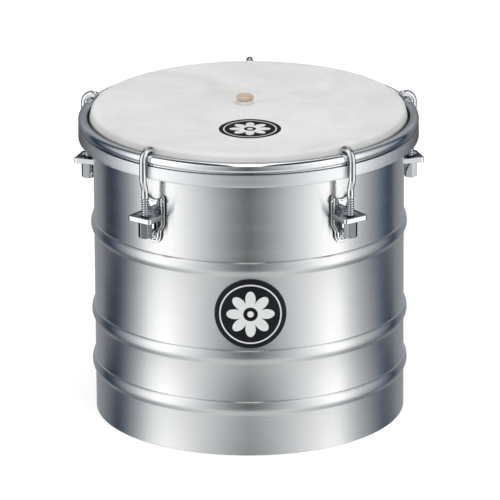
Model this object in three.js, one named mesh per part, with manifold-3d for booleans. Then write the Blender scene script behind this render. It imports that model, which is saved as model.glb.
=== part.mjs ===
// A cuica: a friction drum with a rolled aluminium shell, a goat skin head held down by a
// chromed counterhoop and five hooked rods, and a bamboo stick tied to the middle of the skin.
// Millimetres, +Z up. The drum stands on its open lower rim, and its front is towards -Y.
// The origin is the middle of the footprint's box, on the plane that the drum stands on.

import * as THREE from 'three';
import { mergeVertices } from 'three/addons/utils/BufferGeometryUtils.js';
import Module from 'manifold-3d';

const wasm = await Module();
wasm.setup();

// Clearances between pieces
const seatGap = 0.3; // between a piece and what it rests on
const runningGap = 0.4; // round a rod or neck that slides in its hole
const cutOverrun = 2; // how far a cutting shape passes the wall that it cuts

// Shell
const shellRadius = 101.6;
const shellHeight = 203.9;
const shellWall = 1.5;
const edgeRadius = 2; // the turned-in upper edge that the skin bears on
const edgeLip = 2; // flat lip inside that edge
const beadHeight = 10.2;
const beadDepth = 2.1;
const beadLugClearance = 7.2; // from the highest bead to the lugs' lowest point
const lowCreaseShare = 0.516; // of the middle bead's height above the floor

// Skin head
const skinThickness = 1;
const skinSkirt = 13.2; // drop from the top of the skin to its lower edge
const skinRise = 2.2; // how far the stick lifts the middle of the skin
const riseRadius = 44; // where that rise begins
const stickOffset = -2.2; // the stick is tied a little to the left of the middle

// Stick and its tie
const stickRadius = 3.25;
const stickLength = 160;
const stickNodes = 3; // growth rings along the bamboo
const nodeSwell = 0.45;
const nodeHeight = 3;
const neckRadius = 5.5;
const neckAbove = 2.2; // neck that shows above the skin
const neckBelow = 15;
const buttonRadius = 5.7;
const buttonHeight = 3;
const buttonEdge = 0.6;
const bindingThickness = 1.4;
const bindingHeight = 6;
const bindingDrop = 6; // from the top of the skin's middle to the top of the binding

// Counterhoop and flesh hoop
const beadTubeRadius = 3.3;
const beadTubeDrop = 7.8; // from the top of the skin to the round bead's centre
const beadTubeArc = [-50, 260]; // degrees of its round that show, from the band to the inside
const bandHeight = 8.3;
const bandWall = 1.8;
const bandClearance = 1.3; // between the band and the flesh hoop inside it
const grooveHeight = 1.2;
const fleshHoopHeight = 4.7;
const fleshHoopWidth = 4.9;
const fleshHoopChamfer = 1.1;

// Lugs, one at each station round the shell
const lugCount = 5;
const firstLugShare = 0.5; // of the angle between two lugs, counted from the front
const ledgeDrop = 44.5; // from the top of the skin to the ledge's top
const ledgeThickness = 3.5;
const ledgeMargin = 6.9; // ledge outside the rod's axis
const ledgeCorner = 3;
const lugWidth = 17.4;
const lugPlate = 1.8;
const lugDrop = 21.2; // from the ledge's top to the lug's lowest point
const lugRise = 11.8; // from the ledge's top to the middle of its arched upper edge, and to its ears' tops
const lugArch = 2.2; // how much lower the ends of that arch are
const lugEar = 0.8; // how far the two side ears stand out from the plate
const earThickness = 1.7;

// Lug screws, with a washer and a nut inside the shell
const screwRadius = 2;
const screwDrop = 14.5; // from the ledge's top to the screw's axis
const screwHeadRadius = 3.1;
const screwHeadHeight = 1.8;
const screwTip = 1; // screw that shows past its nut
const washerRadius = 4.6;
const washerThickness = 1;
const washerStandoff = 0.7; // the flat washer bridges the curve of the wall
const smallNutFlats = 7;
const smallNutHeight = 3.2;

// Hooked rods and tuning nuts
const rodRadius = 2.25;
const rodEngagement = 7.5; // length of rod inside the nut
const bendLength = 8.5; // of the crank that clears the band
const bendOffset = 1.85; // how far that crank steps outwards
const hookPastTop = 34; // degrees that the hook goes on past the top of the bead
const nutFlats = 8;
const nutHeight = 11;

// Badge on the front of the shell, between the two upper beads
const badgeRadius = 23.4;
const badgeMargin = 1.35; // from its edge to each of those beads
const badgeThickness = 0.5;
const badgeTurn = 1.2; // degrees round the shell from the middle of the front

// How finely the round shapes are cut
const ringSegments = 50;
const smallSegments = 12;
const rodSides = 8; // an even number
const rodSteps = 26;
const badgeSegments = 32;
const badgeRings = 3;
const degree = Math.PI / 180;

// Sizes that follow from the ones above
const skinInnerRadius = shellRadius + seatGap;
const skinOuterRadius = skinInnerRadius + skinThickness;
const skinTop = shellHeight + seatGap + skinThickness;
const middleTop = skinTop + skinRise;
const neckTop = middleTop + neckAbove;
const neckHoleRadius = neckRadius + runningGap;
const stickTop = neckTop - seatGap;
const fleshHoopInner = skinOuterRadius + seatGap;
const fleshHoopOuter = fleshHoopInner + fleshHoopWidth;
const hoopRadius = fleshHoopOuter + bandClearance + bandWall;
const beadTubeAxis = hoopRadius - beadTubeRadius;
const beadTubeHeight = skinTop - beadTubeDrop; // of the round bead's centre
const bandTop = beadTubeHeight - beadTubeRadius - seatGap;
const bandLow = bandTop - bandHeight;
const hookRadius = beadTubeRadius + seatGap + rodRadius;
const bendHigh = bandLow - seatGap;
const bendLow = bendHigh - bendLength;
const rodAxis = beadTubeAxis + hookRadius - bendOffset; // of the threaded part
const plateFace = shellRadius + seatGap; // the lug plate's inner face
const ledgeTop = skinTop - ledgeDrop;
const ledgeReach = rodAxis + ledgeMargin; // from the drum's axis
const nutTop = ledgeTop - ledgeThickness - seatGap;
const rodEnd = nutTop - rodEngagement;
const highCrease = ledgeTop - lugDrop - beadLugClearance; // crisp upper line of a bead
const badgeHeight = highCrease - beadHeight - badgeMargin - badgeRadius; // of its centre
const middleCrease = badgeHeight - badgeRadius - badgeMargin;
const beadCreases = [lowCreaseShare * middleCrease, middleCrease, highCrease];

// Finishes
function metal(color, roughness) {
  return new THREE.MeshStandardMaterial({ color, roughness, metalness: 1 });
}

function matt(color, roughness) {
  return new THREE.MeshStandardMaterial({ color, roughness, metalness: 0 });
}

const brushedAluminium = metal(0xc9cdd0, 0.38);
const chrome = metal(0xdfe3e6, 0.08);
const zincSteel = metal(0xb4b6b4, 0.35);
const goatSkin = matt(0xdededa, 0.6);
const bamboo = matt(0xcbb07a, 0.5);
const turnedWood = matt(0xc6ab9a, 0.55);
const waxedThread = matt(0xd8cdb4, 0.8);
const blackFoil = matt(0x17191b, 0.35);

// Turns an outline of [radius, height] points about the upright axis. A closed outline runs
// anticlockwise, with the radius to the right and the height upwards.
function revolve(outline, segments) {
  const points = outline.map(([radius, height]) => new THREE.Vector2(radius, height));
  const geometry = new THREE.LatheGeometry(points, segments);
  return geometry.rotateX(Math.PI / 2);
}

// The same about the axis that runs outwards through the front, with [radius, reach] points.
function revolveOutwards(outline, segments) {
  const points = outline.map(([radius, reach]) => new THREE.Vector2(radius, reach));
  const geometry = new THREE.LatheGeometry(points, segments);
  return geometry.rotateX(Math.PI);
}

// Stands a flat shape up, facing the front, and gives it its depth outwards from a reach.
function extrudeOutwards(shape, reach, depth, curveSegments) {
  const geometry = new THREE.ExtrudeGeometry(shape, { depth, bevelEnabled: false, curveSegments });
  return geometry.rotateX(Math.PI / 2).translate(0, -reach, 0);
}

// Gives a flat shape its height upwards from a level.
function extrudeUpwards(shape, level, depth, curveSegments) {
  const geometry = new THREE.ExtrudeGeometry(shape, { depth, bevelEnabled: false, curveSegments });
  return geometry.translate(0, 0, level);
}

// Points along an arc, both ends included.
function arcPoints(centreRadius, centreHeight, radius, from, to, steps) {
  const points = [];
  for (let i = 0; i <= steps; i += 1) {
    const angle = (from + ((to - from) * i) / steps) * degree;
    points.push([centreRadius + radius * Math.cos(angle), centreHeight + radius * Math.sin(angle)]);
  }
  return points;
}

// Closes an outline on its own first point.
function closed(outline) {
  return [...outline, outline[0]];
}

function rectangleRing(inner, outer, low, high) {
  return closed([[inner, low], [outer, low], [outer, high], [inner, high]]);
}

function toManifold(geometry) {
  const bare = geometry.clone();
  bare.deleteAttribute('normal');
  bare.deleteAttribute('uv');
  const welded = mergeVertices(bare);
  const mesh = new wasm.Mesh({
    numProp: 3,
    vertProperties: new Float32Array(welded.attributes.position.array),
    triVerts: new Uint32Array(welded.index.array),
  });
  return new wasm.Manifold(mesh);
}

function fromManifold(solid) {
  const mesh = solid.getMesh();
  const geometry = new THREE.BufferGeometry();
  geometry.setAttribute('position', new THREE.BufferAttribute(mesh.vertProperties, mesh.numProp));
  geometry.setIndex(new THREE.BufferAttribute(mesh.triVerts, 1));
  geometry.computeVertexNormals();
  return geometry;
}

// Joins the first list of geometries and cuts the second list out of them.
function joinAndCut(joined, cuts) {
  let solid = toManifold(joined[0]);
  for (const geometry of joined.slice(1)) {
    solid = solid.add(toManifold(geometry));
  }
  for (const geometry of cuts) {
    solid = solid.subtract(toManifold(geometry));
  }
  return fromManifold(solid);
}

function addPiece(parent, name, geometry, material) {
  const mesh = new THREE.Mesh(geometry, material);
  mesh.name = name;
  parent.add(mesh);
}

function hexagon(flats, holeRadius) {
  const corner = flats / Math.sqrt(3);
  const shape = new THREE.Shape();
  for (let i = 0; i < 6; i += 1) {
    const angle = i * 60 * degree;
    const point = [corner * Math.cos(angle), corner * Math.sin(angle)];
    if (i === 0) shape.moveTo(...point);
    else shape.lineTo(...point);
  }
  shape.closePath();
  const hole = new THREE.Path();
  hole.absarc(0, 0, holeRadius, 0, 2 * Math.PI, true);
  shape.holes.push(hole);
  return shape;
}

// The angle of every lug station, counted from the front.
function stationAngles() {
  const pitch = 360 / lugCount;
  return Array.from({ length: lugCount }, (unused, i) => (i + firstLugShare) * pitch * degree);
}

// Shell: rolled sheet with three beads pressed outwards and its upper edge turned in.
// Each bead swells softly from below and ends in a crisp crease, as shares of its height
// and depth.
const beadOutlineShares = [[0, 0], [0.22, 0.62], [0.5, 1], [0.8, 0.78], [1, 0]];

function shellWallPoints(radius) {
  const points = [];
  for (const crease of beadCreases) {
    for (const [up, out] of beadOutlineShares) {
      points.push([radius + out * beadDepth, crease - beadHeight + up * beadHeight]);
    }
  }
  return points;
}

function shellGeometry() {
  const inner = shellRadius - shellWall;
  const edgeAxis = shellRadius - edgeRadius;
  const edgeLevel = shellHeight - edgeRadius;
  const lip = edgeAxis - edgeLip;
  const outline = closed([
    [inner, 0],
    [shellRadius, 0],
    ...shellWallPoints(shellRadius),
    ...arcPoints(edgeAxis, edgeLevel, edgeRadius, 0, 90, 4),
    [lip, shellHeight],
    [lip, shellHeight - shellWall],
    ...arcPoints(edgeAxis, edgeLevel, edgeRadius - shellWall, 90, 0, 3),
    ...shellWallPoints(inner).reverse(),
  ]);
  const cuts = stationAngles().map((angle) => {
    const drill = revolveOutwards([
      [0, inner - cutOverrun],
      [screwRadius + runningGap, inner - cutOverrun],
      [screwRadius + runningGap, shellRadius + cutOverrun],
      [0, shellRadius + cutOverrun],
    ], smallSegments);
    return drill.translate(0, 0, ledgeTop - screwDrop).rotateZ(angle);
  });
  return joinAndCut([revolve(outline, ringSegments)], cuts);
}

// Skin head: the flat playing surface, its turned edge and the skirt outside the shell. Its
// middle is lifted by the stick, and the hole there is where the tied neck passes.
const riseShares = [[0, 1], [0.16, 0.62], [0.36, 0.28], [0.64, 0.07], [1, 0]];

function skinRisePoints(level, start) {
  return riseShares.map(([out, up]) => [start + out * (riseRadius - start), level + up * skinRise]);
}

// Slides the middle of the skin sideways to where the stick is tied, and fades to nothing
// where the rise begins.
function shiftMiddle(geometry) {
  const position = geometry.attributes.position;
  for (let i = 0; i < position.count; i += 1) {
    const radius = Math.hypot(position.getX(i), position.getY(i));
    const outward = (radius - neckHoleRadius) / (riseRadius - neckHoleRadius);
    const share = 1 - Math.min(1, Math.max(0, outward));
    position.setX(i, position.getX(i) + stickOffset * share);
  }
  return geometry;
}

function skinGeometry() {
  const edgeAxis = shellRadius - edgeRadius;
  const edgeLevel = shellHeight - edgeRadius;
  const underside = skinTop - skinThickness;
  const skirtEnd = skinTop - skinSkirt;
  const outline = closed([
    ...skinRisePoints(underside, neckHoleRadius),
    ...arcPoints(edgeAxis, edgeLevel, edgeRadius + seatGap, 90, 0, 3),
    [skinInnerRadius, skirtEnd],
    [skinOuterRadius, skirtEnd],
    ...arcPoints(edgeAxis, edgeLevel, edgeRadius + seatGap + skinThickness, 0, 90, 4),
    ...skinRisePoints(skinTop, neckHoleRadius).reverse(),
  ]);
  return shiftMiddle(revolve(outline, ringSegments));
}

// Neck: the middle of the skin, gathered round the top of the stick and tied.
function neckGeometry() {
  const bore = stickRadius + seatGap;
  return revolve(rectangleRing(bore, neckRadius, middleTop - neckBelow, neckTop), smallSegments);
}

// Thread wound round the neck under the skin.
function bindingGeometry() {
  const inner = neckRadius + seatGap;
  const top = middleTop - bindingDrop;
  const middle = inner + bindingThickness / 2;
  const turn = bindingThickness / 2;
  return revolve(closed([
    ...arcPoints(middle, top - bindingHeight + turn, turn, 180, 360, 4),
    ...arcPoints(middle, top - turn, turn, 0, 180, 4),
  ]), smallSegments);
}

// Button: the turned wooden head of the stick, which shows above the skin.
function buttonGeometry() {
  const low = neckTop + seatGap;
  const high = low + buttonHeight;
  return revolve([
    [0, low],
    [buttonRadius - buttonEdge, low],
    [buttonRadius, low + buttonEdge],
    [buttonRadius, high - buttonEdge],
    [buttonRadius - buttonEdge, high],
    [0, high],
  ], smallSegments * 2);
}

// Stick: a bamboo cane with swollen growth rings, hanging down inside the shell.
function stickGeometry() {
  const outline = [[0, stickTop - stickLength], [stickRadius, stickTop - stickLength]];
  for (let i = 0; i < stickNodes; i += 1) {
    const level = stickTop - stickLength + ((i + 0.5) * stickLength) / (stickNodes + 0.5);
    outline.push([stickRadius, level - nodeHeight / 2]);
    outline.push([stickRadius + nodeSwell, level]);
    outline.push([stickRadius, level + nodeHeight / 2]);
  }
  outline.push([stickRadius, stickTop], [0, stickTop]);
  return revolve(outline, smallSegments);
}

// Counterhoop: a rolled band that ends in a round bead, which presses on the flesh hoop.
function counterhoopGeometry() {
  const bandInner = hoopRadius - bandWall;
  return revolve(closed([
    [bandInner, bandLow],
    [hoopRadius, bandLow],
    [hoopRadius, bandTop - grooveHeight / 2],
    ...arcPoints(beadTubeAxis, beadTubeHeight, beadTubeRadius, ...beadTubeArc, 10),
    [bandInner, bandTop - grooveHeight],
  ]), ringSegments);
}

// Flesh hoop: the steel hoop that the edge of the skin is tucked round.
function fleshHoopGeometry() {
  const high = bandTop;
  const low = high - fleshHoopHeight;
  const inner = fleshHoopInner;
  const outer = fleshHoopOuter;
  const cut = fleshHoopChamfer;
  return revolve(closed([
    [inner + cut, low],
    [outer - cut, low],
    [outer, low + cut],
    [outer, high - cut],
    [outer - cut, high],
    [inner + cut, high],
    [inner, high - cut],
    [inner, low + cut],
  ]), ringSegments);
}

// Lug: a chromed bracket with an arched plate against the shell, two side ears and a ledge
// that the rod passes through. Its lower end is round and takes one screw.
function lugPlateShape() {
  const half = lugWidth / 2;
  const lobeLevel = ledgeTop - lugDrop + half;
  const shape = new THREE.Shape();
  shape.moveTo(half, lobeLevel);
  shape.lineTo(half, ledgeTop + lugRise - lugArch);
  shape.quadraticCurveTo(0, ledgeTop + lugRise + lugArch, -half, ledgeTop + lugRise - lugArch);
  shape.lineTo(-half, lobeLevel);
  shape.absarc(0, lobeLevel, half, Math.PI, 2 * Math.PI, false);
  return shape;
}

function ledgeShape() {
  const half = lugWidth / 2;
  const corner = ledgeCorner;
  const shape = new THREE.Shape();
  shape.moveTo(-half, -plateFace - lugPlate / 2);
  shape.lineTo(-half, -ledgeReach + corner);
  shape.absarc(-half + corner, -ledgeReach + corner, corner, Math.PI, 1.5 * Math.PI, false);
  shape.absarc(half - corner, -ledgeReach + corner, corner, 1.5 * Math.PI, 2 * Math.PI, false);
  shape.lineTo(half, -plateFace - lugPlate / 2);
  const hole = new THREE.Path();
  hole.absarc(0, -rodAxis, rodRadius + runningGap, 0, 2 * Math.PI, true);
  shape.holes.push(hole);
  return shape;
}

function earGeometry(side) {
  const depth = lugPlate / 2 + lugEar;
  const height = ledgeThickness / 2 + lugRise;
  const ear = new THREE.BoxGeometry(earThickness, depth, height);
  const across = side * (lugWidth - earThickness) / 2;
  const out = plateFace + lugPlate / 2 + depth / 2;
  return ear.translate(across, -out, ledgeTop - ledgeThickness / 2 + height / 2);
}

function lugGeometry() {
  const plate = extrudeOutwards(lugPlateShape(), plateFace, lugPlate, 4);
  const ledge = extrudeUpwards(ledgeShape(), ledgeTop - ledgeThickness, ledgeThickness, 3);
  const drill = revolveOutwards([
    [0, plateFace - cutOverrun],
    [screwRadius + runningGap, plateFace - cutOverrun],
    [screwRadius + runningGap, plateFace + lugPlate + cutOverrun],
    [0, plateFace + lugPlate + cutOverrun],
  ], smallSegments).translate(0, 0, ledgeTop - screwDrop);
  return joinAndCut([plate, ledge, earGeometry(-1), earGeometry(1)], [drill]);
}

// Lug screw: a low domed head outside and a plain shank through lug, shell, washer and nut.
const domeShares = [[1, 0], [0.86, 0.55], [0.5, 0.9], [0, 1]];

function lugScrewGeometry() {
  const seat = plateFace + lugPlate + seatGap;
  const tip = smallNutInnerFace() - screwTip;
  const dome = domeShares.map(([out, up]) => [out * screwHeadRadius, seat + up * screwHeadHeight]);
  const outline = [[0, tip], [screwRadius, tip], [screwRadius, seat], ...dome];
  return revolveOutwards(outline, smallSegments).translate(0, 0, ledgeTop - screwDrop);
}

function washerOuterFace() {
  return shellRadius - shellWall - washerStandoff;
}

function smallNutInnerFace() {
  return washerOuterFace() - washerThickness - seatGap - smallNutHeight;
}

function lugWasherGeometry() {
  const outer = washerOuterFace();
  const ring = rectangleRing(screwRadius + runningGap, washerRadius, outer - washerThickness, outer);
  return revolveOutwards(ring, smallSegments).translate(0, 0, ledgeTop - screwDrop);
}

function lugNutGeometry() {
  const shape = hexagon(smallNutFlats, screwRadius + runningGap);
  const geometry = extrudeOutwards(shape, smallNutInnerFace(), smallNutHeight, smallSegments / 2);
  return geometry.translate(0, 0, ledgeTop - screwDrop);
}

// Hooked rod: threaded below, cranked outwards to clear the band, and hooked over the bead.
class HookLine extends THREE.Curve {
  getPoint(share) {
    const turn = (90 + hookPastTop) * degree;
    const climb = beadTubeHeight - rodEnd;
    const walked = share * (climb + hookRadius * turn);
    if (walked > climb) {
      const angle = (walked - climb) / hookRadius;
      const reach = beadTubeAxis + hookRadius * Math.cos(angle);
      return new THREE.Vector3(0, -reach, beadTubeHeight + hookRadius * Math.sin(angle));
    }
    const level = rodEnd + walked;
    const bent = Math.min(1, Math.max(0, (level - bendLow) / (bendHigh - bendLow)));
    const sway = (1 - Math.cos(Math.PI * bent)) / 2;
    return new THREE.Vector3(0, -(rodAxis + sway * bendOffset), level);
  }
}

function rodGeometry() {
  const section = new THREE.Shape();
  section.absarc(0, 0, rodRadius, 0, 2 * Math.PI, false);
  return new THREE.ExtrudeGeometry(section, {
    extrudePath: new HookLine(),
    steps: rodSteps,
    curveSegments: rodSides / 2,
  });
}

// Tuning nut: turns under the ledge and draws the rod down.
function tuningNutGeometry() {
  const shape = hexagon(nutFlats, rodRadius + runningGap);
  const geometry = extrudeUpwards(shape, nutTop - nutHeight, nutHeight, smallSegments / 2);
  return geometry.translate(0, -rodAxis, 0);
}

// Badge: a round foil disc that follows the curve of the shell.
function badgeGeometry() {
  const face = shellRadius + seatGap;
  const rings = Array.from({ length: badgeRings + 1 }, (unused, i) => (i / badgeRings) * badgeRadius);
  const back = rings.map((radius) => [radius, face]);
  const front = rings.map((radius) => [radius, face + badgeThickness]).reverse();
  const geometry = revolveOutwards([...back, ...front], badgeSegments);
  const position = geometry.attributes.position;
  for (let i = 0; i < position.count; i += 1) {
    const reach = -position.getY(i);
    const angle = position.getX(i) / face;
    position.setX(i, reach * Math.sin(angle));
    position.setY(i, -reach * Math.cos(angle));
  }
  return geometry.rotateZ(badgeTurn * degree).translate(0, 0, badgeHeight);
}

// Puts one lug and all that belongs to it at its station round the shell.
function addStation(drum, number, angle) {
  const station = new THREE.Group();
  station.rotation.z = angle;
  addPiece(station, `lug_${number}`, lugGeometry(), chrome);
  addPiece(station, `lug_screw_${number}`, lugScrewGeometry(), chrome);
  addPiece(station, `lug_washer_${number}`, lugWasherGeometry(), zincSteel);
  addPiece(station, `lug_nut_${number}`, lugNutGeometry(), zincSteel);
  addPiece(station, `tension_hook_${number}`, rodGeometry(), chrome);
  addPiece(station, `tuning_nut_${number}`, tuningNutGeometry(), chrome);
  drum.add(station);
}

function addStick(drum) {
  const tied = new THREE.Group();
  tied.position.x = stickOffset;
  addPiece(tied, 'friction_stick', stickGeometry(), bamboo);
  addPiece(tied, 'skin_neck', neckGeometry(), goatSkin);
  addPiece(tied, 'neck_binding', bindingGeometry(), waxedThread);
  addPiece(tied, 'stick_button', buttonGeometry(), turnedWood);
  drum.add(tied);
}

// The drum is built round its own axis, which stands in front of the footprint's middle,
// because one ledge reaches past the hoop at the back and none does at the front.
const drum = new THREE.Group();
drum.position.y = -(ledgeReach - hoopRadius) / 2;
addPiece(drum, 'shell', shellGeometry(), brushedAluminium);
addPiece(drum, 'head_skin', skinGeometry(), goatSkin);
addPiece(drum, 'flesh_hoop', fleshHoopGeometry(), zincSteel);
addPiece(drum, 'counterhoop', counterhoopGeometry(), chrome);
addPiece(drum, 'shell_badge', badgeGeometry(), blackFoil);
addStick(drum);
stationAngles().forEach((angle, i) => addStation(drum, i + 1, angle));

const cuica = new THREE.Group();
cuica.add(drum);

export default cuica;
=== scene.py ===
import math

import bpy
import numpy as np
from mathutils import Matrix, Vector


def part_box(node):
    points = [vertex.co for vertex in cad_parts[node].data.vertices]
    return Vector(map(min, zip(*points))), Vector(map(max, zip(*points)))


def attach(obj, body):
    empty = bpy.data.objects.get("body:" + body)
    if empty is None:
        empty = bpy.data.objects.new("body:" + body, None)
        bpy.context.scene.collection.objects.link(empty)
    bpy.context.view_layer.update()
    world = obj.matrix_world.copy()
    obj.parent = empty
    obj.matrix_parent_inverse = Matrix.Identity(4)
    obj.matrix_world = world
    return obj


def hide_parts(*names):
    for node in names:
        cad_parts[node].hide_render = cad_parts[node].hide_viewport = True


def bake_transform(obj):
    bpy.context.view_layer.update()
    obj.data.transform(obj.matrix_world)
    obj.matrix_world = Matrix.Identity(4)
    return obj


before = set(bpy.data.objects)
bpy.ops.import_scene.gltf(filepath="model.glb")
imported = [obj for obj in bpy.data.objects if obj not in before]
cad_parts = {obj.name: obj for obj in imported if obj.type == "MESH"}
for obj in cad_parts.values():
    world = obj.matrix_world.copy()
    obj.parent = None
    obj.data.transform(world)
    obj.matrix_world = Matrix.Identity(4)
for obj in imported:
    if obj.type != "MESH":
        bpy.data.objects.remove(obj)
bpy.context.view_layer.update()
mm = 0.001

# Shell: rolled aluminium sheet, 1.5 mm thick, with three beads pressed outwards and the upper
# edge turned in over a soft radius. It is brushed round and round, so the light on it stands in
# upright bands. All the other pieces are built round the shell's own upright axis.
shell_low, shell_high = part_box("shell")
axis = np.array([(shell_low.x + shell_high.x) / 2, (shell_low.y + shell_high.y) / 2, 0.0])
shell_radius, shell_wall, shell_height = 101.6 * mm, 1.5 * mm, shell_high.z
shell_inner = shell_radius - shell_wall
high_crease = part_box("lug_1")[0].z - 7.2 * mm
middle_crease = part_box("shell_badge")[0].z - 1.35 * mm
bead_creases = np.array([0.516 * middle_crease, middle_crease, high_crease])
bead_height, bead_depth = 10.2 * mm, 2.1 * mm
edge_radius, edge_lip, hem = 2.0 * mm, 2.0 * mm, 0.45 * mm
edge_axis, edge_level = shell_radius - edge_radius, shell_height - edge_radius


def in_scene(name, data):
    """Puts a mesh, a lamp or a camera into the scene as an object."""
    thing = bpy.data.objects.new(name, data)
    bpy.context.scene.collection.objects.link(thing)
    return thing


def surface(name, *grids, sharp=38.0):
    """One piece out of closed surfaces that sit in each other, each on a grid of points. A point
    is joined to the next in its row and to its neighbour in the next row. Rows close on
    themselves, and the last row meets the first unless the grid ends in poles, rows whose points
    all meet. The outside is on the side of (along the row) x (from row to row). Points that meet
    are welded, and a face that loses a side there becomes three-sided. Edges bent by more than
    the sharp angle, in degrees, stay crisp."""
    corners, faces, start = [], [], 0
    for points in grids:
        rows, columns = points.shape[:2]
        has_poles = np.ptp(points[0], axis=0).max() < 1e-7
        i = np.arange(rows - 1 if has_poles else rows)[:, None]
        j = np.arange(columns)[None, :]
        here, above, following = i * columns, ((i + 1) % rows) * columns, (j + 1) % columns
        quads = np.stack([here + j, here + following, above + following, above + j], -1).reshape(-1, 4)
        spots, welded = np.unique(np.round(points.reshape(-1, 3), 8), axis=0, return_inverse=True)
        quads = welded.reshape(-1)[quads]
        doubled = quads == np.roll(quads, -1, axis=1)
        pinched = doubled.sum(1) == 1
        triangles = quads[pinched][~doubled[pinched]].reshape(-1, 3)
        faces += (quads[doubled.sum(1) == 0] + start).tolist() + (triangles + start).tolist()
        corners += spots.tolist()
        start += len(spots)
    mesh = bpy.data.meshes.new(name)
    mesh.from_pydata(corners, [], faces)
    mesh.shade_smooth()
    mesh.set_sharp_from_angle(angle=math.radians(sharp))
    return in_scene(name, mesh)


def dress(piece, material, body, node):
    """Gives a piece its material and the body that it rides on, and hides the node that it replaces."""
    piece.data.materials.append(material)
    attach(piece, body)
    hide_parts(node)


def turned(profile, sides, centre=0.0):
    """Points of a profile carried once round an upright axis: every (radius, height) row keeps
    its radius and height while the angle runs through a full turn."""
    angle = np.linspace(0, 2 * math.pi, sides, endpoint=False)
    radius, height = np.asarray(profile, float).T[:, :, None]
    return np.stack([radius * np.cos(angle), radius * np.sin(angle), height + 0 * angle], -1) + centre


def arc(radius_at, height_at, radius, start, end, steps):
    """(radius, height) rows along an arc: the centre plus the radius times the cosine and sine of
    an angle that runs evenly from start to end, in degrees."""
    angle = np.radians(np.linspace(start, end, steps + 1))
    return np.stack([radius_at + radius * np.cos(angle), height_at + radius * np.sin(angle)], -1)


def wall_rows(radius, steps=9):
    """(radius, height) rows up the wall, straight between the beads. The lower half of a bead
    swells as a sine to the power 1.25, so it leaves the wall softly; the upper half falls as a
    quarter of an ellipse, which meets the wall square and leaves a crisp crease."""
    rise = np.linspace(0, 0.5, steps)
    fall = np.linspace(0, math.pi / 2, steps + 3)[1:]
    height = np.concatenate([rise, 0.5 + 0.5 * np.sin(fall)])
    swell = np.concatenate([np.sin(math.pi * rise) ** 1.25, np.cos(fall)])
    bead = np.stack([radius + bead_depth * swell, -bead_height * (1 - height)], -1)
    return np.concatenate([bead + [0, crease] for crease in bead_creases])


shell_profile = np.concatenate([
    arc(shell_inner + hem, hem, hem, 180, 270, 4),
    arc(shell_radius - hem, hem, hem, 270, 360, 4),
    wall_rows(shell_radius),
    [[shell_radius, edge_level * 0.5 + high_crease * 0.5]],
    arc(edge_axis, edge_level, edge_radius, 0, 90, 8),
    arc(edge_axis - edge_lip + hem, shell_height - hem, hem, 90, 180, 3),
    arc(edge_axis - edge_lip + hem, shell_height - shell_wall + hem, hem, 180, 270, 3),
    arc(edge_axis, edge_level, edge_radius - shell_wall, 90, 0, 6),
    wall_rows(shell_inner)[::-1],
])


def new_material(name):
    """A material, its node tree and its Principled shader."""
    material = bpy.data.materials.new(name)
    material.use_nodes = True
    return material, material.node_tree, material.node_tree.nodes["Principled BSDF"]


def feed(node, **inputs):
    """Gives a node's inputs a link or a value. An input goes by its name, with underscores for
    spaces, or by its place, as in0, in1 and so on. A colour of three numbers is opaque."""
    for key, value in inputs.items():
        by_place = key[:2] == "in" and key[2:].isdigit()
        socket = node.inputs[int(key[2:]) if by_place else key.replace("_", " ")]
        if isinstance(value, bpy.types.NodeSocket):
            node.id_data.links.new(value, socket)
        else:
            socket.default_value = (*value, 1) if socket.type == "RGBA" else value
    return node


def add(tree, kind, **inputs):
    """Adds a shader node of a kind and feeds it; what starts with set_ is a property."""
    node = tree.nodes.new("ShaderNode" + kind)
    for key in [key for key in inputs if key.startswith("set_")]:
        setattr(node, key[4:], inputs.pop(key))
    return feed(node, **inputs)


def calculate(operation, *values):
    """The result of one Math node on values and sockets."""
    tree = next(value for value in values if isinstance(value, bpy.types.NodeSocket)).id_data
    inputs = {f"in{i}": value for i, value in enumerate(values)}
    return add(tree, "Math", set_operation=operation, **inputs).outputs[0]


def plus(first, second):
    """The sum of two values or sockets."""
    return calculate("ADD", first, second)


def minus(first, second):
    """The first value or socket less the second."""
    return calculate("SUBTRACT", first, second)


def times(first, second):
    """The product of two values or sockets."""
    return calculate("MULTIPLY", first, second)


def spread(value, low, high, to_low=0.0, to_high=1.0):
    """The value's place between low and high, carried over to between to_low and to_high."""
    return add(value.id_data, "MapRange", Value=value, From_Min=low, From_Max=high, To_Min=to_low,
               To_Max=to_high).outputs["Result"]


def mix(share, first, second):
    """A share of the second colour over the first."""
    tree = next(value for value in (share, first) if isinstance(value, bpy.types.NodeSocket)).id_data
    return add(tree, "MixRGB", Fac=share, Color1=first, Color2=second).outputs[0]


def noise(place, scale, detail, roughness=0.5, distortion=0.0):
    """Soft noise from 0 to 1 over a place."""
    return add(place.id_data, "TexNoise", Vector=place, Scale=scale, Detail=detail, Roughness=roughness,
               Distortion=distortion).outputs["Fac"]


def bump(height, strength, distance):
    """A normal that leans with a height."""
    return add(height.id_data, "Bump", Strength=strength, Distance=distance, Height=height).outputs[0]


def object_place(tree):
    """The place on the piece, in metres."""
    return add(tree, "TexCoord").outputs["Object"]


def object_xyz(tree):
    """The three coordinates of the place on the piece."""
    return add(tree, "SeparateXYZ", Vector=object_place(tree)).outputs


def new_group(name, ins, outs):
    """An empty shader node group: an input for each name and its value, a vector where the value
    isn't a single number, and an output for each name. Returns its tree and its two end nodes."""
    tree = bpy.data.node_groups.new(name, "ShaderNodeTree")
    for label, value in ins.items():
        kind = "NodeSocketFloat" if isinstance(value, float) else "NodeSocketVector"
        tree.interface.new_socket(name=label, in_out="INPUT", socket_type=kind).default_value = value
    for label in outs:
        tree.interface.new_socket(name=label, in_out="OUTPUT", socket_type="NodeSocketFloat")
    return tree, tree.nodes.new("NodeGroupInput"), tree.nodes.new("NodeGroupOutput")


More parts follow.
